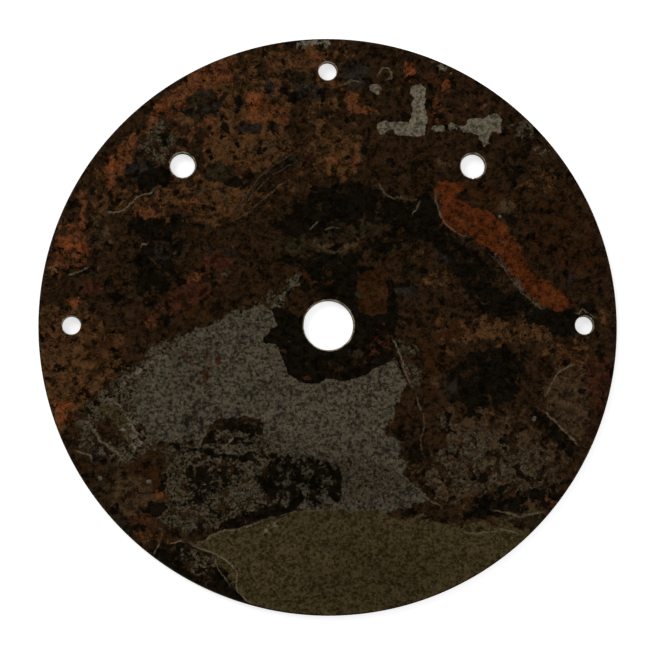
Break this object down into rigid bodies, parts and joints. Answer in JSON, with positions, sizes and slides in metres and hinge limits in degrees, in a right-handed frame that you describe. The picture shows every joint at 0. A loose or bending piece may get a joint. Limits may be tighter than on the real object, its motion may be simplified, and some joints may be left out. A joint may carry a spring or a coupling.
{
  "type": "disc bell",
  "caption": "Flat round bell cut from dark rusted steel plate, with a centre hole for a stand and smaller holes for hanging cords.",
  "frame": {"origin": "centre of the disc's back face, on the centre hole's axis", "axes": "+Z along the disc's axis, out of its front face; +Y towards the top edge hole; +X towards the right edge hole, seen from the front"},
  "size_m": [0.1524, 0.1524, 0.0032],
  "materials": {
    "scaled_steel": "hot-rolled steel under dark mill scale, mottled with red-brown and orange rust, grey where the scale is gone, and sealed with a thin satin coat"
  },
  "bodies": {
    "root": {"bell_disc": "scaled_steel"}
  },
  "joints": []
}
